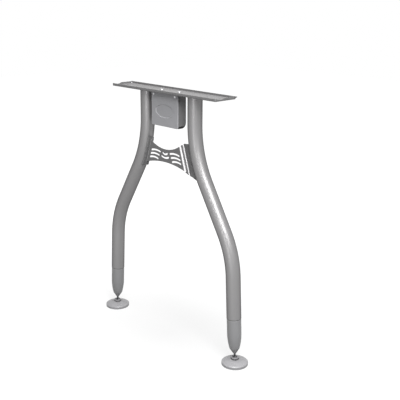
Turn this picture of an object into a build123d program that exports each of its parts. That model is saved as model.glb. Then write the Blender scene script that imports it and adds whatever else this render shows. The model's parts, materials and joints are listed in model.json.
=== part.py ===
from build123d import *
from math import asin, atan, atan2, cos, degrees, pi, sin, sqrt, tan
import os

os.makedirs("parts", exist_ok=True)

# Overall sizes, in millimetres. The leg stands on the floor at Z = 0, midway between its feet.
# X runs along the rail, +Y points to the side where the cross beam leaves, and the cover faces -Y.
leg_height = 725.0
foot_spacing = 520.0
top_spacing = 193.0

# Bent tubes
tube_diameter = 40.0
tube_wall = 1.5
upper_bend_drop = 166.0
upper_bend_radius = 300.0
lower_bend_height = 314.0
lower_bend_spacing = 487.0
lower_bend_radius = 250.0

# Top rail, a shallow tray drawn from sheet
rail_length = 416.0
rail_width = 75.0
rail_depth = 7.5
rail_sheet = 2.0
rail_corner_radius = 3.2
rail_edge_radius = 2.5
rail_dip_width = 28.0
rail_dip_depth = 3.3
rail_dip_offset = 19.0
rail_notch_width = 4.5
rail_lug_length = 4.0
rail_weld_leg = 3.5
rail_weld_hollow = 0.5
desktop_hole_diameter = 6.5
inner_hole_spacing = 280.0
outer_hole_spacing = 370.0

# Gusset panel, a hat-shaped folding between the tubes
panel_sheet = 2.0
panel_front = 21.5
panel_flange_front = 9.0
panel_bend_radius = 3.0
panel_bend_gap = 28.2
panel_bend_lean = 0.315
panel_top_rise = 2.9
panel_top_corner_rise = 20.5
panel_ear_rise = 27.0
panel_ear_slope = 2.5
panel_ear_radius = 4.0
panel_bottom_drop = 33.2
panel_bottom_corner_drop = 46.0
panel_step_drop = 56.5
panel_step_width = 4.5
panel_tip_drop = 67.5
panel_step_radius = 3.0
panel_weld_leg = 2.6
panel_weld_margin = 5.0

# Slots of the panel
slot_width = 5.0
slot_rows = 3
slot_pitch = 10.6
slot_top_drop = 6.8
slot_inner_offset = 17.8
slot_inner_step = 4.8
slot_margin = 11.0
slot_rise = 2.6
smile_rows = 2
smile_pitch = 10.0
smile_top_drop = 7.8
smile_half_width = 11.5
smile_width_step = 5.0
smile_dip = 3.4

# Beam bracket, a folded box open to the back
bracket_width = 101.0
bracket_height = 89.0
bracket_depth = 28.0
bracket_front = 19.0
bracket_sheet = 3.0
bracket_bend_radius = 2.0
bracket_corner_radius = 10.0
bracket_seam = 1.0
beam_hole_diameter = 9.0
beam_countersink_diameter = 13.0
beam_hole_spacing_x = 60.0
beam_hole_spacing_z = 44.0
beam_hole_drop = 45.0

# Liner of the beam socket
liner_wall = 2.2
liner_rim = 4.5
liner_gap = 0.2
liner_drop = 8.0
liner_hole_diameter = 13.0

# Cover over the beam bolts
cover_width = 106.0
cover_height = 92.0
cover_sheet = 2.0
cover_gap = 1.6
cover_top_gap = 0.3
cover_corner_radius = 4.0
cover_edge_radius = 1.2
oval_width = 72.0
oval_height = 37.0
oval_depth = 1.4
oval_slope = 1.6
oval_drop = 49.5
oval_backing = 1.2
cover_screw_spacing = 86.0
cover_screw_drop = 6.0
cover_screw_diameter = 3.5
cover_screw_head_diameter = 6.0
cover_screw_head_height = 1.6
cover_boss_diameter = 7.5
screw_clearance = 0.15

# Bolts that hang the bracket from the rail
bolt_spacing = 70.0
bolt_diameter = 6.0
bolt_head_diameter = 11.0
bolt_head_height = 3.0
bolt_socket_width = 4.0
bolt_socket_depth = 1.8
bolt_clearance = 0.25
nut_across_flats = 10.0
nut_height = 5.0
bolt_end_length = 1.5

# Tapered ends of the tubes
joint_height = 135.0
joint_chamfer = 0.6
end_step = 0.4
taper_start_height = 92.0
taper_knee_height = 47.5
taper_knee_radius = 13.8
taper_knee_fillet = 8.0
tip_height = 33.0
tip_radius = 4.8
spigot_length = 28.0
spigot_clearance = 0.1
spigot_wall = 3.2
end_floor_height = 112.0
end_floor = 4.0
stud_clearance = 0.4

# Threaded insert and stud
insert_diameter = 12.0
insert_length = 20.0
insert_start = 45.0
thread_clearance = 0.08
stud_diameter = 6.0
stud_length = 75.0
stud_chamfer = 1.0
ball_diameter = 12.6
ball_height = 11.5
ball_clearance = 0.3

# Foot pads and soles
pad_diameter = 73.0
pad_wall = 2.6
pad_lift = 0.9
pad_rim_height = 7.2
pad_rim_radius = 1.2
dome_shoulder_radius = 33.5
dome_shoulder_height = 9.2
dome_height = 16.4
collar_diameter = 20.5
collar_height = 22.0
collar_edge_radius = 0.8
mouth_radius = 7.6
mouth_height = 14.8
pad_rib_count = 6
pad_rib_width = 2.0
sole_thickness = 3.2
sole_clearance = 0.4
sole_edge_radius = 0.6

# Places worked out from the sizes above
tube_radius = tube_diameter / 2
rail_bottom = leg_height - rail_depth
rail_floor = rail_bottom + rail_sheet
upper_bend_height = leg_height - upper_bend_drop
foot_x = foot_spacing / 2
top_x = top_spacing / 2
lower_x = lower_bend_spacing / 2
leg_lean = atan2(foot_x - lower_x, lower_bend_height - ball_height)
splay = atan2(lower_x - top_x, upper_bend_height - lower_bend_height)
upper_bend_start = upper_bend_height + upper_bend_radius * tan(splay / 2)
bend_centre_x = top_x + upper_bend_radius
side_radius = upper_bend_radius + sqrt(tube_radius**2 - panel_flange_front**2)
panel_lean = atan(panel_bend_lean)
panel_top = upper_bend_height + panel_top_rise
panel_top_corner = upper_bend_height + panel_top_corner_rise
panel_ear = upper_bend_height + panel_ear_rise
panel_bottom = upper_bend_height - panel_bottom_drop
panel_bottom_corner = upper_bend_height - panel_bottom_corner_drop
panel_step = upper_bend_height - panel_step_drop
panel_tip = upper_bend_height - panel_tip_drop
bracket_bottom = rail_bottom - bracket_height
web_back = bracket_front - bracket_sheet
cover_face = bracket_front + cover_gap + cover_sheet
cover_top = rail_bottom - cover_top_gap


def bend_x(height):
    """Distance of the panel's fold from the middle at a height."""
    return top_x - panel_bend_gap + (upper_bend_height - height) * panel_bend_lean


def turn_at(height):
    """Angle turned along a tube's upper bend when its inner side has come down to a height."""
    return asin((upper_bend_start - height) / side_radius)


def tube_side(height):
    """Where the front of the panel's flange meets the inner side of a tube's upper bend."""
    return bend_centre_x - side_radius * cos(turn_at(height))


def axis_point(height):
    """Point of the lower, leaning part of a tube's axis at a height above the floor."""
    return foot_x - (height - ball_height) * tan(leg_lean), height


def along_axis(height):
    """Distance from the ball's centre, measured along the leaning axis, to a height."""
    return (height - ball_height) / cos(leg_lean)


def lean_plane(side):
    """Plane through the leaning axis: local Y runs up the axis from the ball's centre."""
    return Plane(
        origin=(side * foot_x, 0, ball_height),
        x_dir=(cos(leg_lean), 0, side * sin(leg_lean)),
        z_dir=(0, -1, 0),
    )


def lean_axis(side):
    """The leaning axis itself, pointing up from the ball's centre."""
    return Axis((side * foot_x, 0, ball_height), (-side * sin(leg_lean), 0, cos(leg_lean)))


def tube_path(side):
    """Axis of one bent tube, from the rail down to the joint with its tapered end."""
    joint_x, joint_z = axis_point(joint_height)
    return FilletPolyline(
        (side * top_x, rail_bottom),
        (side * top_x, upper_bend_height),
        (side * lower_x, lower_bend_height),
        (side * joint_x, joint_z),
        radius=[upper_bend_radius, lower_bend_radius],
    )


def tube_envelope(side):
    """Solid rod as thick as the tube, used to trim what is welded to it."""
    with BuildPart() as rod:
        with BuildLine(Plane.XZ):
            path = tube_path(side)
        with BuildSketch(Plane(origin=path @ 0, z_dir=path % 0)):
            Circle(tube_radius)
        sweep()
    return rod.part


def finish(piece, name):
    """Label a finished piece and write its STEP file."""
    piece.part.label = name
    export_step(piece.part, "parts/" + name + ".step")


# Top rail
with BuildPart() as top_rail:
    with BuildSketch(Plane.XY.offset(rail_bottom)):
        RectangleRounded(rail_length, rail_width, rail_corner_radius)
    extrude(amount=rail_depth)
    fillet(top_rail.faces().sort_by(Axis.Z)[0].edges(), rail_edge_radius)
    offset(amount=-rail_sheet, openings=top_rail.faces().sort_by(Axis.Z)[-1])
    # Holes for the desktop's screws and for the two bolts of the bracket
    with BuildSketch(Plane.XY.offset(rail_bottom)):
        for spacing in (inner_hole_spacing, outer_hole_spacing):
            with GridLocations(spacing, 0, 2, 1):
                Circle(desktop_hole_diameter / 2)
        with GridLocations(bolt_spacing, 0, 2, 1):
            Circle(bolt_diameter / 2 + bolt_clearance)
    extrude(amount=rail_sheet, mode=Mode.SUBTRACT)
    # The end walls dip towards the front
    dip_radius = (rail_dip_width**2 / 4 + rail_dip_depth**2) / (2 * rail_dip_depth)
    with BuildSketch(Plane.YZ):
        with Locations((-rail_dip_offset, leg_height + dip_radius - rail_dip_depth)):
            Circle(dip_radius)
        with Locations((-rail_dip_offset, 0)):
            Rectangle(
                rail_dip_width, leg_height + rail_depth, align=(Align.CENTER, Align.MIN), mode=Mode.INTERSECT
            )
    extrude(amount=rail_length / 2 + rail_sheet, both=True, mode=Mode.SUBTRACT)
    # At the back corners the end walls are notched and the back flange runs on as a pointed lug
    with BuildSketch(Plane.XY.offset(rail_floor)):
        with GridLocations(rail_length - rail_corner_radius, 0, 2, 1):
            with Locations((0, rail_width / 2 - rail_sheet - rail_notch_width / 2)):
                Rectangle(rail_corner_radius * 2, rail_notch_width)
    extrude(amount=rail_depth, mode=Mode.SUBTRACT)
    with BuildSketch(Plane.XZ.offset(rail_sheet - rail_width / 2)):
        with BuildLine():
            lug_x = rail_length / 2 + rail_lug_length
            Polyline(
                (-lug_x, leg_height),
                (lug_x, leg_height),
                (lug_x, leg_height - rail_sheet),
                (rail_length / 2 - rail_corner_radius, rail_bottom + rail_edge_radius),
                (rail_corner_radius - rail_length / 2, rail_bottom + rail_edge_radius),
                (-lug_x, leg_height - rail_sheet),
                close=True,
            )
        make_face()
    extrude(amount=-rail_sheet)
finish(top_rail, "top_rail")

# Bent tubes
for side, side_name in ((-1, "left"), (1, "right")):
    with BuildPart() as bent_tube:
        with BuildLine(Plane.XZ):
            tube_line = tube_path(side)
        with BuildSketch(Plane(origin=tube_line @ 0, z_dir=tube_line % 0)):
            Circle(tube_radius)
            Circle(tube_radius - tube_wall, mode=Mode.SUBTRACT)
        sweep()
        lower_rim = bent_tube.edges().filter_by(GeomType.CIRCLE).filter_by(
            lambda edge: abs(edge.radius - tube_radius) < tube_wall / 2
        ).sort_by(Axis.Z)[0]
        chamfer(lower_rim, joint_chamfer)
    finish(bent_tube, side_name + "_tube")

# Fillet welds around the tubes, under the rail
with BuildPart() as rail_welds:
    for side in (-1, 1):
        root = (side * top_x + tube_radius, rail_bottom)
        tube_toe = (side * top_x + tube_radius, rail_bottom - rail_weld_leg)
        rail_toe = (side * top_x + tube_radius + rail_weld_leg, rail_bottom)
        with BuildSketch(Plane.XZ):
            with BuildLine():
                SagittaArc(tube_toe, rail_toe, rail_weld_hollow)
                Polyline(rail_toe, root, tube_toe)
            make_face()
        revolve(axis=Axis((side * top_x, 0, 0), (0, 0, 1)))
finish(rail_welds, "rail_welds")

# Gusset panel, built as a right half that is mirrored
with BuildPart() as panel_half:
    with BuildSketch(
        Plane(
            origin=(bend_x(panel_top_corner), 0, panel_top_corner),
            x_dir=(cos(panel_lean), 0, sin(panel_lean)),
            z_dir=(sin(panel_lean), 0, -cos(panel_lean)),
        )
    ):
        with BuildLine():
            FilletPolyline(
                (-lower_x, panel_front),
                (0, panel_front),
                (0, panel_flange_front),
                (lower_x / 2, panel_flange_front),
                radius=[panel_bend_radius + panel_sheet, panel_bend_radius],
            )
            offset(amount=panel_sheet, side=Side.RIGHT)
        make_face()
    extrude(amount=lower_x, both=True)
    # The outline seen from the front
    with BuildSketch(Plane.XZ):
        with BuildLine():
            bottom_x = bend_x(panel_bottom_corner)
            top_corner_x = bend_x(panel_top_corner) - panel_bend_radius
            tip_x = tube_side(panel_tip)
            ear_x = bend_x(panel_ear) + panel_bend_radius
            TangentArc((0, panel_bottom), (bottom_x, panel_bottom_corner), tangent=(1, 0))
            FilletPolyline(
                (bottom_x, panel_bottom_corner),
                (bottom_x + panel_step_width, panel_step),
                (tip_x, panel_tip),
                radius=panel_step_radius,
            )
            Line((tip_x, panel_tip), (tip_x + tube_radius / 2, panel_tip))
            Line((tip_x + tube_radius / 2, panel_tip), (top_x, panel_ear + panel_ear_slope))
            FilletPolyline(
                (top_x, panel_ear + panel_ear_slope),
                (ear_x, panel_ear),
                (top_corner_x, panel_top_corner),
                radius=panel_ear_radius,
            )
            TangentArc((0, panel_top), (top_corner_x, panel_top_corner), tangent=(1, 0))
            Line((0, panel_top), (0, panel_bottom))
        make_face()
    extrude(amount=tube_diameter, both=True, mode=Mode.INTERSECT)
    # Three rising slots
    with BuildSketch(Plane.XZ):
        for row in range(slot_rows):
            slot_z = upper_bend_height - slot_top_drop - row * slot_pitch
            slot_start = slot_inner_offset + row * slot_inner_step + slot_width / 2
            slot_end = bend_x(slot_z) - slot_margin - slot_width / 2
            with BuildLine(mode=Mode.PRIVATE):
                slot_line = SagittaArc((slot_start, slot_z), (slot_end, slot_z), slot_rise)
            SlotArc(slot_line, slot_width)
    extrude(amount=tube_diameter, both=True, mode=Mode.SUBTRACT)
    add(tube_envelope(1), mode=Mode.SUBTRACT)

with BuildPart() as perforated_panel:
    add(panel_half.part)
    mirror(about=Plane.YZ)
    # Two sagging slots in the middle
    with BuildSketch(Plane.XZ):
        for row in range(smile_rows):
            smile_z = upper_bend_height - smile_top_drop - row * smile_pitch
            smile_end = smile_half_width + row * smile_width_step - slot_width / 2
            with BuildLine(mode=Mode.PRIVATE):
                smile_line = SagittaArc((-smile_end, smile_z), (smile_end, smile_z), -smile_dip)
            SlotArc(smile_line, slot_width)
    extrude(amount=tube_diameter, both=True, mode=Mode.SUBTRACT)
finish(perforated_panel, "perforated_panel")

# Weld beads between the panel's flanges and the bends of the tubes
with BuildPart() as panel_welds:
    bead_top = turn_at(panel_ear - panel_weld_margin)
    bead_bottom = turn_at(panel_tip + panel_weld_margin)
    bead_height = panel_flange_front + panel_weld_leg
    with BuildSketch(
        Plane(
            origin=(bend_centre_x, 0, upper_bend_start),
            x_dir=(-cos(bead_top), 0, -sin(bead_top)),
            z_dir=(-sin(bead_top), 0, cos(bead_top)),
        )
    ):
        with BuildLine():
            Polyline(
                (upper_bend_radius, panel_flange_front),
                (side_radius + panel_weld_leg, panel_flange_front),
                (upper_bend_radius + sqrt(tube_radius**2 - bead_height**2), bead_height),
                close=True,
            )
        make_face()
        with Locations((upper_bend_radius, 0)):
            Circle(tube_radius, mode=Mode.SUBTRACT)
    revolve(
        axis=Axis((bend_centre_x, 0, upper_bend_start), (0, -1, 0)),
        revolution_arc=degrees(bead_bottom - bead_top),
    )
    mirror(about=Plane.YZ)
finish(panel_welds, "panel_welds")

# Beam bracket
with BuildPart() as beam_bracket:
    half_bracket = bracket_width / 2
    bracket_rear = bracket_depth - bracket_front
    top_reach = half_bracket - bracket_sheet - bracket_bend_radius - bracket_seam
    # Web and side plates, one folded strip
    with BuildSketch(Plane.XY.offset(bracket_bottom)):
        with BuildLine():
            FilletPolyline(
                (-half_bracket, bracket_rear),
                (-half_bracket, -bracket_front),
                (half_bracket, -bracket_front),
                (half_bracket, bracket_rear),
                radius=bracket_bend_radius + bracket_sheet,
            )
            offset(amount=bracket_sheet, side=Side.LEFT)
        make_face()
    extrude(amount=bracket_height)
    rear_corners = beam_bracket.edges().filter_by(Axis.X).group_by(Axis.Y)[-1].group_by(Axis.Z)[0]
    fillet(rear_corners, bracket_corner_radius)
    # The web gives way to the top flange, which is folded back from it
    with Locations((0, -bracket_front, rail_bottom)):
        Box(
            2 * top_reach,
            2 * bracket_sheet,
            2 * (bracket_bend_radius + bracket_sheet),
            mode=Mode.SUBTRACT,
        )
    with BuildSketch(Plane.YZ):
        with BuildLine():
            FilletPolyline(
                (-bracket_front, rail_bottom - 2 * (bracket_bend_radius + bracket_sheet)),
                (-bracket_front, rail_bottom),
                (bracket_rear, rail_bottom),
                radius=bracket_bend_radius + bracket_sheet,
            )
            offset(amount=bracket_sheet, side=Side.RIGHT)
        make_face()
    extrude(amount=top_reach, both=True)
    # Countersunk holes for the beam's bolts, clearance holes for the others
    with Locations(Plane.XZ.offset(bracket_front) * Pos(0, rail_bottom - beam_hole_drop)):
        with GridLocations(beam_hole_spacing_x, beam_hole_spacing_z, 2, 2):
            CounterSinkHole(beam_hole_diameter / 2, beam_countersink_diameter / 2, bracket_sheet * 2)
    with Locations(Plane.XZ.offset(bracket_front) * Pos(0, cover_top - cover_screw_drop)):
        with GridLocations(cover_screw_spacing, 0, 2, 1):
            Hole(cover_screw_diameter / 2 + screw_clearance, bracket_sheet * 2)
    with Locations(Plane.XY.offset(rail_bottom)):
        with GridLocations(bolt_spacing, 0, 2, 1):
            Hole(bolt_diameter / 2 + bolt_clearance, bracket_sheet * 2)
finish(beam_bracket, "beam_bracket")

# Liner, standing proud of the bracket below and behind
with BuildPart() as bracket_liner:
    liner_half = half_bracket - bracket_sheet - liner_gap
    liner_front = web_back
    liner_bottom = bracket_bottom - liner_rim
    liner_top = rail_bottom - bracket_sheet - liner_drop
    with BuildSketch(Plane.XY.offset(liner_bottom)):
        with BuildLine():
            FilletPolyline(
                (-liner_half, bracket_rear + liner_rim),
                (-liner_half, -liner_front),
                (liner_half, -liner_front),
                (liner_half, bracket_rear + liner_rim),
                radius=bracket_bend_radius + liner_wall,
            )
            offset(amount=liner_wall, side=Side.LEFT)
        make_face()
    extrude(amount=liner_top - liner_bottom)
    liner_corners = bracket_liner.edges().filter_by(Axis.X).group_by(Axis.Y)[-1].group_by(Axis.Z)[0]
    fillet(liner_corners, bracket_corner_radius + liner_rim)
    with Locations(Plane.XZ.offset(liner_front) * Pos(0, rail_bottom - beam_hole_drop)):
        with GridLocations(beam_hole_spacing_x, beam_hole_spacing_z, 2, 2):
            Hole(liner_hole_diameter / 2, liner_wall * 2)
finish(bracket_liner, "bracket_liner")

# Cover with its oval recess
with BuildPart() as bracket_cover:
    with BuildSketch(Plane.XZ.offset(bracket_front)):
        with Locations((0, cover_top - cover_height / 2)):
            RectangleRounded(cover_width, cover_height, cover_corner_radius)
    extrude(amount=cover_gap + cover_sheet)
    fillet(bracket_cover.faces().sort_by(Axis.Y)[0].edges(), cover_edge_radius)
    with BuildSketch(Plane.XZ.offset(bracket_front)):
        with Locations((0, cover_top - cover_height / 2)):
            RectangleRounded(
                cover_width - 2 * cover_sheet,
                cover_height - 2 * cover_sheet,
                cover_corner_radius - cover_sheet,
            )
    extrude(amount=cover_gap, mode=Mode.SUBTRACT)
    # Four feet that hold it off the web, and the backing of the oval
    with BuildSketch(Plane.XZ.offset(bracket_front)):
        with Locations((0, cover_top - cover_height / 2)):
            with GridLocations(cover_screw_spacing, cover_height - 2 * cover_screw_drop, 2, 2):
                Circle(cover_boss_diameter / 2)
    extrude(amount=cover_gap)
    with BuildSketch(Plane.XZ.offset(cover_face - cover_sheet - oval_backing)):
        with Locations((0, cover_top - oval_drop)):
            Ellipse(oval_width / 2, oval_height / 2)
    extrude(amount=oval_backing)
    for depth, inset in ((0, 0), (oval_depth, oval_slope)):
        with BuildSketch(Plane.XZ.offset(cover_face - depth)):
            with Locations((0, cover_top - oval_drop)):
                Ellipse(oval_width / 2 - inset, oval_height / 2 - inset)
    loft(mode=Mode.SUBTRACT)
    with Locations(Plane.XZ.offset(cover_face) * Pos(0, cover_top - cover_screw_drop)):
        with GridLocations(cover_screw_spacing, 0, 2, 1):
            Hole(cover_screw_diameter / 2 + screw_clearance, cover_gap + cover_sheet)
finish(bracket_cover, "bracket_cover")

# Two small screws of the cover
with BuildPart() as cover_screws:
    with BuildSketch(Plane.XZ.offset(cover_face)):
        with Locations((0, cover_top - cover_screw_drop)):
            with GridLocations(cover_screw_spacing, 0, 2, 1):
                Circle(cover_screw_head_diameter / 2)
    extrude(amount=cover_screw_head_height)
    fillet(cover_screws.edges().group_by(Axis.Y)[0], cover_screw_head_height / 2)
    with BuildSketch(Plane.XZ.offset(web_back)):
        with Locations((0, cover_top - cover_screw_drop)):
            with GridLocations(cover_screw_spacing, 0, 2, 1):
                Circle(cover_screw_diameter / 2)
    extrude(amount=cover_face - web_back)
    with BuildSketch(Plane.XZ.offset(cover_face + cover_screw_head_height)):
        with Locations((0, cover_top - cover_screw_drop)):
            with GridLocations(cover_screw_spacing, 0, 2, 1):
                Rectangle(cover_screw_diameter, cover_screw_head_height / 2)
                Rectangle(cover_screw_head_height / 2, cover_screw_diameter)
    extrude(amount=-cover_screw_head_height / 2, mode=Mode.SUBTRACT)
finish(cover_screws, "cover_screws")

# Bolts through the rail and their nuts
with BuildPart() as bracket_bolts:
    nut_bottom = rail_bottom - bracket_sheet - nut_height
    with BuildSketch(Plane.XY.offset(rail_floor)):
        with GridLocations(bolt_spacing, 0, 2, 1):
            Circle(bolt_head_diameter / 2)
    extrude(amount=bolt_head_height)
    fillet(bracket_bolts.edges().group_by(Axis.Z)[-1], bolt_head_height / 2)
    with BuildSketch(Plane.XY.offset(nut_bottom - bolt_end_length)):
        with GridLocations(bolt_spacing, 0, 2, 1):
            Circle(bolt_diameter / 2)
    extrude(amount=rail_floor - nut_bottom + bolt_end_length)
    with BuildSketch(Plane.XY.offset(rail_floor + bolt_head_height)):
        with GridLocations(bolt_spacing, 0, 2, 1):
            RegularPolygon(bolt_socket_width / 2, 6, major_radius=False)
    extrude(amount=-bolt_socket_depth, mode=Mode.SUBTRACT)
finish(bracket_bolts, "bracket_bolts")

with BuildPart() as bracket_nuts:
    with BuildSketch(Plane.XY.offset(nut_bottom)):
        with GridLocations(bolt_spacing, 0, 2, 1):
            RegularPolygon(nut_across_flats / 2, 6, major_radius=False)
            Circle(bolt_diameter / 2 + thread_clearance, mode=Mode.SUBTRACT)
    extrude(amount=nut_height)
finish(bracket_nuts, "bracket_nuts")

# Feet: tapered end, threaded insert, stud, pad and sole on each side
for side, side_name in ((-1, "left"), (1, "right")):
    joint = along_axis(joint_height)
    tip = along_axis(tip_height)
    spigot_radius = tube_radius - tube_wall - spigot_clearance
    bore_radius = stud_diameter / 2 + stud_clearance
    bore_top = along_axis(end_floor_height) - end_floor
    with BuildPart() as tube_end:
        with BuildSketch(lean_plane(side)):
            with BuildLine():
                end_radius = tube_radius - end_step
                taper_start = (end_radius, along_axis(taper_start_height))
                knee = (taper_knee_radius, along_axis(taper_knee_height))
                TangentArc(taper_start, knee, tangent=(0, -1))
                Line(knee, (tip_radius, tip))
                Line((tip_radius, tip), (0, tip))
                Line((0, tip), (0, joint + spigot_length))
                Line((0, joint + spigot_length), (spigot_radius, joint + spigot_length))
                Line((spigot_radius, joint + spigot_length), (spigot_radius, joint))
                Line((spigot_radius, joint), (end_radius - joint_chamfer, joint))
                Line((end_radius - joint_chamfer, joint), (end_radius, joint - joint_chamfer))
                Line((end_radius, joint - joint_chamfer), taper_start)
            make_face()
            with Locations((0, tip)):
                Rectangle(bore_radius, bore_top - tip, align=Align.MIN, mode=Mode.SUBTRACT)
            with Locations((0, insert_start)):
                Rectangle(insert_diameter / 2, insert_length, align=Align.MIN, mode=Mode.SUBTRACT)
            with Locations((0, along_axis(end_floor_height))):
                Rectangle(
                    spigot_radius - spigot_wall,
                    joint + spigot_length,
                    align=Align.MIN,
                    mode=Mode.SUBTRACT,
                )
        revolve(axis=lean_axis(side))
        knee_edge = tube_end.edges().filter_by(GeomType.CIRCLE).sort_by(
            lambda edge: abs(edge.radius - taper_knee_radius)
        )[0]
        fillet(knee_edge, taper_knee_fillet)
    finish(tube_end, side_name + "_tube_end")

    with BuildPart() as insert:
        with BuildSketch(lean_plane(side)):
            with Locations((stud_diameter / 2 + thread_clearance, insert_start)):
                Rectangle(
                    insert_diameter / 2 - stud_diameter / 2 - thread_clearance - spigot_clearance,
                    insert_length,
                    align=Align.MIN,
                )
        revolve(axis=lean_axis(side))
    finish(insert, side_name + "_insert")

    with BuildPart() as stud:
        with BuildSketch(lean_plane(side)):
            Rectangle(stud_diameter / 2, stud_length, align=Align.MIN)
            Circle(ball_diameter / 2)
            Rectangle(ball_diameter, ball_diameter, align=(Align.MAX, Align.CENTER), mode=Mode.SUBTRACT)
        revolve(axis=lean_axis(side))
        stud_rims = stud.edges().filter_by(GeomType.CIRCLE)
        chamfer(stud_rims.sort_by(lean_axis(side))[-1], stud_chamfer)
    finish(stud, side_name + "_stud")

    with BuildPart() as foot_pad:
        pad_radius = pad_diameter / 2
        foot_plane = Plane(origin=(side * foot_x, 0, 0), x_dir=(1, 0, 0), z_dir=(0, -1, 0))
        with BuildSketch(foot_plane):
            with BuildLine():
                Polyline(
                    (0, sole_thickness),
                    (collar_diameter / 2, sole_thickness),
                    (collar_diameter / 2, dome_height - pad_wall),
                    (dome_shoulder_radius - pad_wall, dome_shoulder_height - pad_wall),
                    (pad_radius - pad_wall, sole_thickness),
                    (pad_radius - pad_wall, pad_lift),
                    (pad_radius, pad_lift),
                    (pad_radius, pad_rim_height),
                    (dome_shoulder_radius, dome_shoulder_height),
                    (collar_diameter / 2, dome_height),
                    (collar_diameter / 2, collar_height),
                    (0, collar_height),
                    close=True,
                )
            make_face()
            with Locations((0, mouth_height)):
                Rectangle(mouth_radius, collar_height, align=Align.MIN, mode=Mode.SUBTRACT)
            with Locations((0, ball_height)):
                Circle(ball_diameter / 2 + ball_clearance, mode=Mode.SUBTRACT)
        revolve(axis=Axis((side * foot_x, 0, 0), (0, 0, 1)))
        collar_rims = foot_pad.edges().filter_by(GeomType.CIRCLE).group_by(Axis.Z)[-1]
        fillet(collar_rims, collar_edge_radius)
        shoulder_edges = foot_pad.edges().filter_by(
            lambda edge: edge.geom_type == GeomType.CIRCLE
            and edge.radius > dome_shoulder_radius - pad_wall / 2
            and edge.center().Z > sole_thickness
        )
        fillet(shoulder_edges, pad_rim_radius)
        # Ribs between the hub and the rim, on the underside
        for number in range(pad_rib_count):
            turn = number * 2 * pi / pad_rib_count
            with BuildSketch(
                Plane(
                    origin=(side * foot_x, 0, 0),
                    x_dir=(cos(turn), sin(turn), 0),
                    z_dir=(sin(turn), -cos(turn), 0),
                )
            ):
                with BuildLine():
                    Polyline(
                        (collar_diameter / 2 - pad_wall / 2, sole_thickness),
                        (pad_radius - pad_wall / 2, sole_thickness),
                        (dome_shoulder_radius - pad_wall / 2, dome_shoulder_height - pad_wall / 2),
                        (collar_diameter / 2 - pad_wall / 2, dome_height - pad_wall / 2),
                        close=True,
                    )
                make_face()
            extrude(amount=pad_rib_width / 2, both=True)
    finish(foot_pad, side_name + "_foot_pad")

    with BuildPart() as sole:
        with BuildSketch(Plane.XY):
            with Locations((side * foot_x, 0)):
                Circle(pad_diameter / 2 - pad_wall - sole_clearance)
        extrude(amount=sole_thickness)
        fillet(sole.edges().sort_by(Axis.Z)[0], sole_edge_radius)
    finish(sole, side_name + "_sole")
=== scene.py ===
import math

import bmesh
import bpy
from mathutils import Matrix, Vector
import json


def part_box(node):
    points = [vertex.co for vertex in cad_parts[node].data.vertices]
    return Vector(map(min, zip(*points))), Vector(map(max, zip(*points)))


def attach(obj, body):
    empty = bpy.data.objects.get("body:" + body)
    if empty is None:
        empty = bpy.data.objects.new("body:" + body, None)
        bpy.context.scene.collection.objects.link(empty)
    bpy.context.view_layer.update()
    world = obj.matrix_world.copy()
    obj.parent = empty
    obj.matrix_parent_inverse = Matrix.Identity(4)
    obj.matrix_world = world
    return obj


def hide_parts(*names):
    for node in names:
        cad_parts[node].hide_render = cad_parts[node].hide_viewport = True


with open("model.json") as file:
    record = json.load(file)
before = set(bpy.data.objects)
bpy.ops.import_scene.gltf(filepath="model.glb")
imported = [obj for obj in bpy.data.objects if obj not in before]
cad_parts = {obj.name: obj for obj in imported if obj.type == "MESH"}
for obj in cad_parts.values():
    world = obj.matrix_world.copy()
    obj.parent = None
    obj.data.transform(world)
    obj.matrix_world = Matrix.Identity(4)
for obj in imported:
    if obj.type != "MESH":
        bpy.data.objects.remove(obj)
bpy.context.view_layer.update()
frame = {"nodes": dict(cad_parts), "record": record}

# Sizes that the pieces and finishes are placed by, in metres
# The panel's lean is a slope, and the leg's lean is an angle in radians
foot_x = 0.260
lower_bend_x = 0.2435
lower_bend_height = 0.314
ball_height = 0.0115
ball_radius = 0.0063
stud_radius = 0.003
stud_length = 0.075
neck_length = 0.009
thread_pitch = 0.001
thread_depth = 0.0006
joint_height = 0.135
top_tube_x = 0.0965
tube_radius = 0.020
panel_fold_x = 0.0683
panel_fold_height = 0.559
panel_fold_lean = 0.315
panel_front_y = -0.0215
panel_flange_y = -0.009
panel_sheet = 0.0019
panel_bend = 0.003
collar_radius = 0.01025
collar_foot = 0.0164
bracket_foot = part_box("beam_bracket")[0].z
leg_lean = math.atan2(foot_x - lower_bend_x, lower_bend_height - ball_height)
joint_x = foot_x - (joint_height - ball_height) * math.tan(leg_lean)

# Heights that a wall foot reaches between, and three points of the plane that cuts its lower edge
wall_foot_top = 0.5135
wall_foot_bottom = 0.4960
cut_at_front = Vector((0.0834, panel_front_y, 0.5132))
cut_at_flange = Vector((0.0865, panel_flange_y, 0.5016))
cut_at_tip = Vector((0.1127, panel_flange_y, 0.4919))

# Colours of dust and of the black band along the bracket's lower edge, and the tint of a powder coat's
# shine
dust_on_paint = (0.62, 0.60, 0.57)
dust_on_plastic = (0.60, 0.58, 0.55)
lower_band_black = (0.01, 0.01, 0.01)
shine_tint = (0.12, 0.12, 0.12, 1.0)


# Node tree helpers
def put(tree, kind, inputs=(), **settings):
    """Adds a node, sets its properties and its sockets; a value that is a socket is linked."""
    node = tree.nodes.new(kind)
    for key, value in settings.items():
        setattr(node, key, value)
    for key, value in dict(inputs).items():
        socket = node.inputs[key]
        if isinstance(value, bpy.types.NodeSocket):
            tree.links.new(value, socket)
        else:
            socket.default_value = value
    return node


def maths(tree, operation, *values, clamp=False):
    """A Math node's output, from numbers and sockets."""
    numbered = dict(enumerate(values))
    return put(tree, "ShaderNodeMath", numbered, operation=operation, use_clamp=clamp).outputs[0]


def times(tree, a, b, clamp=False):
    """The product of two values."""
    return maths(tree, "MULTIPLY", a, b, clamp=clamp)


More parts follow.
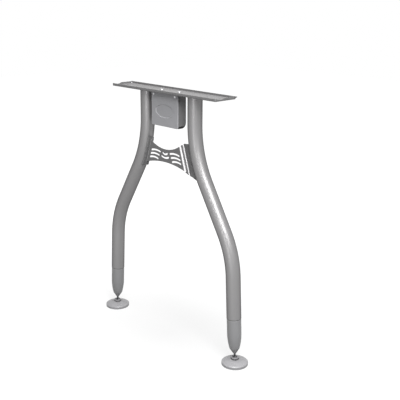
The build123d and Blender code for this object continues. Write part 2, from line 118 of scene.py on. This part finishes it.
def plus(tree, a, b, clamp=False):
    """The sum of two values."""
    return maths(tree, "ADD", a, b, clamp=clamp)


def minus(tree, a, b, clamp=False):
    """The difference of two values."""
    return maths(tree, "SUBTRACT", a, b, clamp=clamp)


def band(tree, value, middle, half_width):
    """1 where a value is at the middle, falling to 0 at half_width on either side of it."""
    off = maths(tree, "ABSOLUTE", minus(tree, value, middle))
    return minus(tree, 1.0, maths(tree, "DIVIDE", off, half_width), clamp=True)


def blend(tree, factor, a, b):
    """A colour mix; a and b are RGB triples or sockets."""
    node = put(tree, "ShaderNodeMix", data_type="RGBA")
    for index, value in ((0, factor), (6, a), (7, b)):
        if isinstance(value, bpy.types.NodeSocket):
            tree.links.new(value, node.inputs[index])
        else:
            node.inputs[index].default_value = value if index == 0 else (*value, 1.0)
    return node.outputs[2]


def shade(colour, factor):
    """A colour made darker or lighter."""
    return tuple(min(1.0, factor * part) for part in colour)


def object_place(tree):
    """Object coordinates."""
    return put(tree, "ShaderNodeTexCoord").outputs["Object"]


def surface_normal(tree):
    """The direction that the surface faces."""
    return put(tree, "ShaderNodeNewGeometry").outputs["Normal"]


def split(tree, vector):
    """The X, Y and Z of a vector, by name."""
    return put(tree, "ShaderNodeSeparateXYZ", {0: vector}).outputs


def noise(tree, place, scale, detail, roughness=0.5):
    """Cloudy noise between 0 and 1."""
    inputs = {"Vector": place, "Scale": scale, "Detail": detail, "Roughness": roughness}
    return put(tree, "ShaderNodeTexNoise", inputs).outputs["Fac"]


def bump(tree, strength, depth, height):
    """A normal that a height tilts."""
    inputs = {"Strength": strength, "Distance": depth, "Height": height}
    return put(tree, "ShaderNodeBump", inputs).outputs["Normal"]


def effect(name, inputs, outputs):
    """A shader node group with the given float inputs and typed outputs."""
    tree = bpy.data.node_groups.new(name, "ShaderNodeTree")
    for label, value in inputs.items():
        socket = tree.interface.new_socket(label, in_out="INPUT", socket_type="NodeSocketFloat")
        socket.default_value = value
    for label, kind in outputs.items():
        tree.interface.new_socket(label, in_out="OUTPUT", socket_type="NodeSocket" + kind)
    return tree, put(tree, "NodeGroupInput").outputs, put(tree, "NodeGroupOutput").inputs


def use(tree, group, **inputs):
    """An instance of a group in a tree, with its named inputs set."""
    return put(tree, "ShaderNodeGroup", inputs, node_tree=group).outputs


# Effects that several finishes share
def make_orange_peel():
    """The faint waves of sprayed and baked paint."""
    inputs = {"Scale": 450.0, "Strength": 0.02, "Depth": 0.0002}
    tree, given, made = effect("orange_peel", inputs, {"Normal": "Vector"})
    waves = noise(tree, object_place(tree), given["Scale"], 2.0, 0.45)
    tree.links.new(bump(tree, given["Strength"], given["Depth"], waves), made["Normal"])
    return tree


def make_grain():
    """The fine pits of a mould's surface."""
    inputs = {"Scale": 2500.0, "Strength": 0.15, "Depth": 0.0001}
    tree, given, made = effect("grain", inputs, {"Normal": "Vector"})
    cells = put(tree, "ShaderNodeTexVoronoi", {"Vector": object_place(tree), "Scale": given["Scale"]})
    pits = bump(tree, given["Strength"], given["Depth"], cells.outputs["Distance"])
    tree.links.new(pits, made["Normal"])
    return tree


def make_edge_wear():
    """Patches along outer edges that hands and cartons have rubbed."""
    inputs = {"Radius": 0.0012, "Scale": 220.0, "Amount": 1.0}
    edge_contrast = 5.0
    whole_below = 0.35
    patch_contrast = 2.5
    tree, given, made = effect("edge_wear", inputs, {"Mask": "Float"})
    flat = surface_normal(tree)
    rounded = put(tree, "ShaderNodeBevel", {"Radius": given["Radius"]}, samples=4).outputs["Normal"]
    pair = {0: flat, 1: rounded}
    agree = put(tree, "ShaderNodeVectorMath", pair, operation="DOT_PRODUCT").outputs["Value"]
    sharp = times(tree, minus(tree, 1.0, agree), edge_contrast, clamp=True)
    patches = noise(tree, object_place(tree), given["Scale"], 4.0)
    worn = times(tree, minus(tree, patches, whole_below), patch_contrast, clamp=True)
    rubbed = times(tree, sharp, worn)
    tree.links.new(times(tree, rubbed, given["Amount"], clamp=True), made["Mask"])
    return tree


def make_dust():
    """Dust that lies on what faces up."""
    bare_below = 0.55
    dust_contrast = 2.2
    tree, given, made = effect("dust", {"Scale": 40.0, "Amount": 1.0}, {"Mask": "Float"})
    upward = split(tree, surface_normal(tree))["Z"]
    settled = times(tree, minus(tree, upward, bare_below), dust_contrast, clamp=True)
    specks = noise(tree, object_place(tree), given["Scale"], 6.0, 0.7)
    lying = times(tree, settled, specks)
    tree.links.new(times(tree, lying, given["Amount"], clamp=True), made["Mask"])
    return tree


def make_joint_shade_and_highlight():
    """The line where a tapered end meets its tube: painted shade in the gap, and a painted highlight on
    the end's chamfer below it.
    """
    chamfer_drop = 0.002
    inputs = {"GapShade": 0.0014, "RimHighlight": 0.0013}
    tree, given, made = effect("joint_shade_and_highlight", inputs, {"GapShade": "Float", "RimHighlight": "Float"})
    parts = split(tree, object_place(tree))
    sideways = minus(tree, maths(tree, "ABSOLUTE", parts["X"]), joint_x)
    upwards = minus(tree, parts["Z"], joint_height)
    rise = times(tree, upwards, math.cos(leg_lean))
    along = minus(tree, rise, times(tree, sideways, math.sin(leg_lean)))
    tree.links.new(band(tree, along, 0.0, given["GapShade"]), made["GapShade"])
    tree.links.new(band(tree, along, -chamfer_drop, given["RimHighlight"]), made["RimHighlight"])
    return tree


orange_peel = make_orange_peel()
grain = make_grain()
edge_wear = make_edge_wear()
dust = make_dust()
joint_shade_and_highlight = make_joint_shade_and_highlight()


# Finishes
def material(name):
    """A new node material, with its tree and its Principled shader."""
    made = bpy.data.materials.new(name)
    made.use_nodes = True
    return made, made.node_tree, made.node_tree.nodes["Principled BSDF"]


def black_lower_band(tree, base, place, height):
    """Paints black along the lower edge of the bracket's walls."""
    band_reach = 0.003
    edge = times(tree, band(tree, split(tree, place)["Z"], height, band_reach), 2.0, clamp=True)
    return blend(tree, edge, base, lower_band_black)


def paint_bend_highlight(tree, base, colour):
    """Painted highlight on the panel's bends, where they turn from the front to the side."""
    turned = split(tree, surface_normal(tree))
    side = maths(tree, "ABSOLUTE", turned["X"])
    front = times(tree, turned["Y"], -1.0)
    bend_gain = 2.4
    bend_highlight_lift = 4.2
    bend_highlight_mask = times(tree, times(tree, side, front), bend_gain, clamp=True)
    return blend(tree, maths(tree, "POWER", bend_highlight_mask, 2.0), base, shade(colour, bend_highlight_lift))


def paint_collar_shade(tree, base, colour, place):
    """Painted shade: the dark ring where a foot pad's collar rises from its dome."""
    parts = split(tree, place)
    outward = minus(tree, maths(tree, "ABSOLUTE", parts["X"]), foot_x)
    squares = plus(tree, maths(tree, "POWER", outward, 2.0), maths(tree, "POWER", parts["Y"], 2.0))
    crease_width = 0.0022
    crease_height = 0.003
    crease_shade = 0.12
    ring = band(tree, maths(tree, "SQRT", squares), collar_radius, crease_width)
    ring_shade = times(tree, ring, band(tree, parts["Z"], collar_foot, crease_height))
    return blend(tree, times(tree, ring_shade, 1.6, clamp=True), base, shade(colour, crease_shade))


def powder_coat(
    name, colour, roughness, metallic, specular, gloss, spread, joint_lit_and_shaded=False, bend_highlighted=False, black_band_height=None
):
    """Silver powder coat: fine flake, orange peel, rubbed edges and a lacquer that shines face on."""
    made, tree, shader = material(name)
    place = object_place(tree)
    flake_scale = 1800.0
    cloud_scale = 9.0
    flake = noise(tree, place, flake_scale, 1.0)
    cloud = noise(tree, place, cloud_scale, 3.0)
    mottle = plus(tree, times(tree, flake, 0.6), times(tree, cloud, 0.4))
    base = blend(tree, mottle, shade(colour, 0.92), shade(colour, 1.07))
    # Painted shade in the gap where a tube meets its tapered end
    if joint_lit_and_shaded:
        gap = times(tree, use(tree, joint_shade_and_highlight)["GapShade"], 0.95)
        base = blend(tree, gap, base, shade(colour, 0.12))
    # Black painted along the lower edge of the bracket's walls
    if black_band_height is not None:
        base = black_lower_band(tree, base, place, black_band_height)
    # Painted highlight on the panel's bends
    if bend_highlighted:
        base = paint_bend_highlight(tree, base, colour)
    rubbed = use(tree, edge_wear, Amount=0.4)["Mask"]
    base = blend(tree, rubbed, base, shade(colour, 1.6))
    settled = use(tree, dust, Amount=0.05)["Mask"]
    base = blend(tree, settled, base, dust_on_paint)
    rough = plus(tree, roughness - 0.05, times(tree, cloud, 0.10))
    rough = plus(tree, rough, times(tree, settled, 0.3))
    facing = put(tree, "ShaderNodeLayerWeight", {"Blend": 0.5}).outputs["Facing"]
    lacquer = times(tree, maths(tree, "POWER", minus(tree, 1.0, facing), 2.0), gloss)
    tree.links.new(base, shader.inputs["Base Color"])
    tree.links.new(rough, shader.inputs["Roughness"])
    tree.links.new(lacquer, shader.inputs["Coat Weight"])
    tree.links.new(use(tree, orange_peel)["Normal"], shader.inputs["Normal"])
    shader.inputs["Metallic"].default_value = metallic
    shader.inputs["Specular IOR Level"].default_value = specular
    shader.inputs["Specular Tint"].default_value = shine_tint
    shader.inputs["Coat Roughness"].default_value = spread
    return made


def weld(name, colour, ring):
    """Painted weld bead with the ripple of its run, up the panel's flange or round a tube's top; a
    painted highlight lightens the ripple's crests and painted shade darkens its dips.
    """
    made, tree, shader = material(name)
    place = object_place(tree)
    parts = split(tree, place)
    run = parts["Z"]
    if ring:
        outward = minus(tree, maths(tree, "ABSOLUTE", parts["X"]), top_tube_x)
        run = times(tree, maths(tree, "ARCTAN2", parts["Y"], outward), tube_radius)
    waver_scale = 260.0
    waver_push = 5.0
    ripple_pitch = 0.0022
    ripple_depth = 0.0006
    waver = noise(tree, place, waver_scale, 2.0)
    phase = times(tree, run, math.tau / ripple_pitch)
    ripple = maths(tree, "SINE", plus(tree, phase, times(tree, waver, waver_push)))
    height = plus(tree, times(tree, ripple, 0.5), times(tree, waver, 0.8))
    # Painted highlight on the ripple's crests and painted shade in its dips
    crest = times(tree, minus(tree, height, 0.45), 1.6, clamp=True)
    base = blend(tree, crest, shade(colour, 0.6), shade(colour, 1.9))
    tree.links.new(base, shader.inputs["Base Color"])
    tree.links.new(bump(tree, 0.9, ripple_depth, height), shader.inputs["Normal"])
    tree.links.new(plus(tree, 0.35, times(tree, waver, 0.2)), shader.inputs["Roughness"])
    shader.inputs["Metallic"].default_value = 0.35
    return made


def moulding(name, colour, roughness, grain_scale, grain_strength, joint_lit_and_shaded=False, collar_shaded=False):
    """Moulded plastic or rubber with a fine grain and rubbed edges."""
    made, tree, shader = material(name)
    place = object_place(tree)
    cloud_scale = 14.0
    cloud = noise(tree, place, cloud_scale, 3.0)
    base = blend(tree, cloud, shade(colour, 0.93), shade(colour, 1.07))
    # Painted highlight on the end's chamfer and painted shade in the gap above it
    if joint_lit_and_shaded:
        lines = use(tree, joint_shade_and_highlight)
        base = blend(tree, times(tree, lines["RimHighlight"], 0.7), base, shade(colour, 1.5))
        base = blend(tree, times(tree, lines["GapShade"], 0.8), base, shade(colour, 0.15))
    # Painted shade round the foot of each pad's collar
    if collar_shaded:
        base = paint_collar_shade(tree, base, colour, place)
    rubbed = use(tree, edge_wear, Amount=0.2, Radius=0.0008)["Mask"]
    base = blend(tree, rubbed, base, shade(colour, 1.3))
    settled = use(tree, dust, Amount=0.05)["Mask"]
    base = blend(tree, settled, base, dust_on_plastic)
    rough = plus(tree, roughness - 0.04, times(tree, cloud, 0.08))
    pitted = use(tree, grain, Scale=grain_scale, Strength=grain_strength)["Normal"]
    tree.links.new(base, shader.inputs["Base Color"])
    tree.links.new(rough, shader.inputs["Roughness"])
    tree.links.new(pitted, shader.inputs["Normal"])
    return made


def steel(name, colour, roughness, scale, stretch):
    """Plated or turned steel with fine streaks."""
    made, tree, shader = material(name)
    drawn = put(tree, "ShaderNodeMapping", {"Vector": object_place(tree), "Scale": stretch})
    streaks = noise(tree, drawn.outputs["Vector"], scale, 3.0)
    base = blend(tree, streaks, shade(colour, 0.8), shade(colour, 1.15))
    rubbed = use(tree, edge_wear, Amount=0.5, Radius=0.0005)["Mask"]
    base = blend(tree, rubbed, base, shade(colour, 1.4))
    rough = plus(tree, roughness - 0.08, times(tree, streaks, 0.16))
    tree.links.new(base, shader.inputs["Base Color"])
    tree.links.new(rough, shader.inputs["Roughness"])
    shader.inputs["Metallic"].default_value = 1.0
    return made


sheet_silver = (0.175, 0.173, 0.175)
tube_silver = (0.255, 0.251, 0.253)
sheet_gloss = {"roughness": 0.42, "metallic": 0.12, "specular": 0.2, "gloss": 0.5, "spread": 0.25}
tube_gloss = {"roughness": 0.42, "metallic": 0.6, "specular": 0.0, "gloss": 0.2, "spread": 0.3}
bracket_coat = powder_coat("bracket_powder_coat", sheet_silver, **sheet_gloss, black_band_height=bracket_foot)
# The panel's coat carries a painted highlight on its bends
panel_coat = powder_coat("panel_powder_coat", shade(sheet_silver, 0.9), **sheet_gloss, bend_highlighted=True)
tube_coat = powder_coat("tube_powder_coat", tube_silver, **tube_gloss, joint_lit_and_shaded=True)
finishes = {
    "frame_paint": powder_coat("sheet_powder_coat", sheet_silver, **sheet_gloss),
    "cover_plastic": moulding("cover_moulding", (0.318, 0.318, 0.332), 0.5, 1800.0, 0.2),
    "black_plastic": moulding("liner_moulding", (0.008, 0.008, 0.008), 0.6, 1800.0, 0.2),
    "plated_steel": steel("zinc_plate", (0.60, 0.60, 0.61), 0.32, 600.0, (1.0, 1.0, 1.0)),
    "end_plastic": moulding("end_moulding", (0.24, 0.24, 0.245), 0.42, 2500.0, 0.06, joint_lit_and_shaded=True),
    "stud_steel": steel("turned_steel", (0.16, 0.16, 0.165), 0.3, 400.0, (1.0, 1.0, 12.0)),
    "pad_plastic": moulding("pad_moulding", (0.283, 0.281, 0.292), 0.36, 2500.0, 0.05, collar_shaded=True),
    "sole_rubber": moulding("sole_rubber", (0.02, 0.02, 0.02), 0.8, 1200.0, 0.4),
}
special = {
    "beam_bracket": bracket_coat,
    "perforated_panel": panel_coat,
    "left_tube": tube_coat,
    "right_tube": tube_coat,
    "rail_welds": weld("rail_weld_bead", sheet_silver, ring=True),
    "panel_welds": weld("panel_weld_bead", sheet_silver, ring=False),
}
slots = {entry["node"]: entry["material_slot"] for entry in frame["record"]["subparts"]}
for name, node in frame["nodes"].items():
    node.data.materials.clear()
    node.data.materials.append(special.get(name) or finishes[slots[name]])


# Pieces
def piece(mesh, name, finish, body):
    """Turns a bmesh into an object that rides on a body."""
    bmesh.ops.recalc_face_normals(mesh, faces=mesh.faces)
    data = bpy.data.meshes.new(name)
    mesh.to_mesh(data)
    mesh.free()
    data.materials.append(finish)
    made = bpy.data.objects.new(name, data)
    bpy.context.scene.collection.objects.link(made)
    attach(made, body)
    return made


def rod(mesh, bottom, top, bottom_radius, top_radius):
    """A capped length of round bar on the Z axis, straight or tapered."""
    ends = {"radius1": bottom_radius, "radius2": top_radius, "depth": top - bottom}
    verts = bmesh.ops.create_cone(mesh, cap_ends=True, segments=32, **ends)["verts"]
    bmesh.ops.translate(mesh, verts=verts, vec=(0.0, 0.0, (bottom + top) / 2))


def thread_ridge(mesh, sunk, crest, start, turns):
    """One flank profile, carried round and up as a right-hand thread."""
    steps_per_turn = 16
    # Half the ridge's height at its root and at its crest, in pitches
    root = 0.5
    flat = 0.08
    corners = ((sunk, -root), (crest, -flat), (crest, flat), (sunk, root))
    flank = [mesh.verts.new((radius, 0.0, start + rise * thread_pitch)) for radius, rise in corners]
    profile = mesh.faces.new(flank)
    bmesh.ops.spin(
        mesh,
        geom=flank + list(profile.edges) + [profile],
        cent=(0.0, 0.0, 0.0),
        axis=(0.0, 0.0, 1.0),
        dvec=(0.0, 0.0, thread_pitch / steps_per_turn),
        angle=math.tau * turns,
        steps=steps_per_turn * turns,
        use_merge=False,
    )


def threaded_stud(side, side_name):
    """Stud on the leaning axis: a ball, a plain neck and a thread up to its end."""
    mesh = bmesh.new()
    core_radius = stud_radius - thread_depth
    neck_top = neck_length + thread_pitch
    turns = round((stud_length - neck_top) / thread_pitch) - 1
    bmesh.ops.create_uvsphere(mesh, u_segments=32, v_segments=18, radius=ball_radius)
    rod(mesh, neck_length, neck_top, stud_radius, core_radius)
    rod(mesh, 0.0, neck_length, stud_radius, stud_radius)
    rod(mesh, neck_length, stud_length, core_radius, core_radius)
    thread_ridge(mesh, core_radius - thread_depth / 2, stud_radius, neck_top, turns)
    lean = Matrix.Rotation(-side * leg_lean, 4, "Y")
    stand = Matrix.Translation((side * foot_x, 0.0, ball_height))
    bmesh.ops.transform(mesh, matrix=stand @ lean, verts=mesh.verts)
    finish = finishes["stud_steel"]
    stud = piece(mesh, side_name + "_threaded_stud", finish, side_name + "_screw")
    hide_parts(side_name + "_stud")


def wall_foot(side, side_name):
    """Foot of the panel's side wall, which slopes down from the front to the flange below the fold."""
    mesh = bmesh.new()
    drop = wall_foot_top - wall_foot_bottom
    fold_top = panel_fold_x + (panel_fold_height - wall_foot_top) * panel_fold_lean
    # The fold in plan: side wall, inner bend and the start of the flange
    centre = Vector((panel_bend, panel_flange_y - panel_bend))
    turns = [math.radians(angle) for angle in range(0, 91, 15)]
    plan = [Vector((0.0, panel_front_y + panel_sheet))]
    plan += [centre + panel_bend * Vector((-math.cos(turn), math.sin(turn))) for turn in turns]
    flange_start = panel_bend * 1.8
    plan.append(Vector((flange_start, panel_flange_y)))
    # A little sunk into the panel, so that no faces lie in one plane
    sunk = 0.00005
    places = [(fold_top + point.x - sunk, point.y + sunk, wall_foot_top) for point in plan]
    row = [mesh.verts.new(place) for place in places]
    for first, second in zip(row, row[1:]):
        mesh.edges.new((first, second))
    strip = bmesh.ops.extrude_edge_only(mesh, edges=mesh.edges[:])["geom"]
    lowered = [item for item in strip if isinstance(item, bmesh.types.BMVert)]
    bmesh.ops.translate(mesh, verts=lowered, vec=(drop * panel_fold_lean, 0.0, -drop))
    # Cut along the slope of the panel's lower edge
    slope = (cut_at_flange - cut_at_front).cross(cut_at_tip - cut_at_front).normalized()
    if slope.z > 0:
        slope.negate()
    whole = mesh.verts[:] + mesh.edges[:] + mesh.faces[:]
    bmesh.ops.bisect_plane(mesh, geom=whole, plane_co=cut_at_front, plane_no=slope, clear_outer=True)
    bmesh.ops.recalc_face_normals(mesh, faces=mesh.faces)
    frontmost = min(mesh.faces, key=lambda face: face.calc_center_median().y)
    if frontmost.normal.x < 0:
        bmesh.ops.reverse_faces(mesh, faces=mesh.faces)
    bmesh.ops.solidify(mesh, geom=mesh.faces[:], thickness=panel_sheet)
    if side < 0:
        bmesh.ops.scale(mesh, vec=(-1.0, 1.0, 1.0), verts=mesh.verts)
    piece(mesh, side_name + "_wall_foot", panel_coat, "frame")


for side, side_name in ((-1, "left"), (1, "right")):
    threaded_stud(side, side_name)
    wall_foot(side, side_name)


# Floor and studio
def seen_directly(tree):
    """1 for camera, glossy and transmission rays, and 0 for the rest."""
    rays = put(tree, "ShaderNodeLightPath").outputs
    through = plus(tree, rays["Is Camera Ray"], rays["Is Transmission Ray"], clamp=True)
    return plus(tree, through, rays["Is Glossy Ray"], clamp=True)


def pale_floor():
    """Floor that is white to the eye, and a little darker near the leg, where it keeps a soft shadow."""
    floor_size = 12.0
    floor_height = -0.0002
    glow_at_leg = 0.68
    glow_per_metre = 0.3
    bpy.ops.mesh.primitive_plane_add(size=floor_size, location=(0.0, 0.0, floor_height))
    floor = bpy.context.object
    floor.name = "floor"
    made, tree, shader = material("pale_floor")
    shader.inputs["Base Color"].default_value = (0.2, 0.2, 0.2, 1.0)
    shader.inputs["Roughness"].default_value = 0.9
    shader.inputs["Specular IOR Level"].default_value = 0.0
    place = object_place(tree)
    away = put(tree, "ShaderNodeVectorMath", {0: place}, operation="LENGTH").outputs["Value"]
    glow_there = plus(tree, glow_at_leg, times(tree, away, glow_per_metre))
    brightness = maths(tree, "MINIMUM", 1.0, glow_there)
    glow = put(tree, "ShaderNodeEmission", {"Strength": brightness})
    lit = put(tree, "ShaderNodeAddShader", {0: shader.outputs[0], 1: glow.outputs[0]})
    choice = {0: seen_directly(tree), 1: shader.outputs[0], 2: lit.outputs[0]}
    shown = put(tree, "ShaderNodeMixShader", choice)
    tree.links.new(shown.outputs[0], tree.nodes["Material Output"].inputs["Surface"])
    floor.data.materials.append(made)


def white_studio(ambient):
    """World that is white where it is seen or mirrored, and lights by the ambient strength."""
    world = bpy.data.worlds.new("studio")
    bpy.context.scene.world = world
    world.use_nodes = True
    tree = world.node_tree
    strength = plus(tree, ambient, times(tree, seen_directly(tree), 1.0 - ambient))
    tree.nodes["Background"].inputs["Color"].default_value = (1.0, 1.0, 1.0, 1.0)
    tree.links.new(strength, tree.nodes["Background"].inputs["Strength"])


def toward(azimuth, elevation):
    """Direction from the leg; azimuth 0 is in front of the cover and 90 at the right foot, in degrees."""
    turn = math.radians(azimuth)
    tilt = math.radians(elevation)
    level = math.cos(tilt)
    return Vector((math.sin(turn) * level, -math.cos(turn) * level, math.sin(tilt)))


def lamp(name, azimuth, elevation, width, height, power):
    """An area lamp that looks at about the middle of the leg."""
    middle = Vector((0.0, 0.0, 0.4))
    distance = 2.6
    away = toward(azimuth, elevation)
    data = bpy.data.lights.new(name, "AREA")
    data.shape = "RECTANGLE"
    data.size = width
    data.size_y = height
    data.energy = power
    made = bpy.data.objects.new(name, data)
    facing = away.to_track_quat("Z", "Y").to_matrix().to_4x4()
    made.matrix_world = Matrix.Translation(middle + away * distance) @ facing
    bpy.context.scene.collection.objects.link(made)


def photo_camera():
    """Camera at the photograph's viewing angle."""
    azimuth = 45.68
    elevation = 16.54
    roll = math.radians(0.49)
    target = Vector((0.11815, 0.0, 0.43806))
    distance = 1.92254
    back = toward(azimuth, elevation)
    turn = math.radians(azimuth)
    level = Vector((math.cos(turn), math.sin(turn), 0.0))
    upright = back.cross(level)
    right = math.cos(roll) * level + math.sin(roll) * upright
    up = math.cos(roll) * upright - math.sin(roll) * level
    data = bpy.data.cameras.new("camera")
    data.sensor_width = 36.0
    data.lens = 63.87
    camera = bpy.data.objects.new("camera", data)
    look = Matrix((right, up, back)).transposed().to_4x4()
    camera.matrix_world = Matrix.Translation(target + back * distance) @ look
    bpy.context.scene.collection.objects.link(camera)
    bpy.context.scene.camera = camera


pale_floor()
white_studio(0.06)
lamp("key", 60.0, 40.0, 1.3, 1.3, 78.0)
lamp("strip", 24.0, 4.0, 0.3, 1.1, 12.0)
lamp("overhead", 60.0, 84.0, 1.2, 1.2, 78.0)
photo_camera()
bpy.context.scene.view_settings.view_transform = "Standard"
